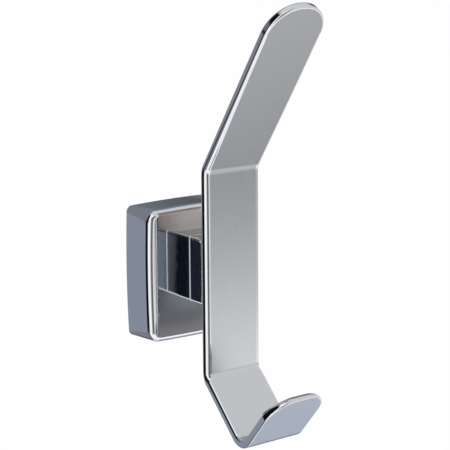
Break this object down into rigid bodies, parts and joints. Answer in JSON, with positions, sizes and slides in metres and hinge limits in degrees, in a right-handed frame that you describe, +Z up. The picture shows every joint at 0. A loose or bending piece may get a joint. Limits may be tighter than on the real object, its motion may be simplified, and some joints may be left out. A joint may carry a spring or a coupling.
{
  "type": "hat and coat hook",
  "caption": "Wall hook with a square concealed-fixing flange, a square support arm and a wide bent blade with an upper hat arm and a lower coat hook.",
  "frame": {"origin": "centre of the flange's back on the wall plane", "axes": "+Y into the wall, +Z up along the blade, +X to the right seen from the room; the hook stands out towards -Y"},
  "size_m": [0.052, 0.075, 0.1622],
  "materials": {
    "polished_steel": "bright polished stainless",
    "satin_steel": "satin faces, polished edges",
    "plated_steel": "plain zinc plate",
    "screw_steel": "plain stainless"
  },
  "bodies": {
    "root": {"hook_blade": "satin_steel", "support_arm": "polished_steel", "support_neck": "polished_steel", "flange_cover": "polished_steel", "mounting_bracket": "plated_steel", "wall_plate": "plated_steel", "set_screw": "screw_steel"}
  },
  "joints": []
}
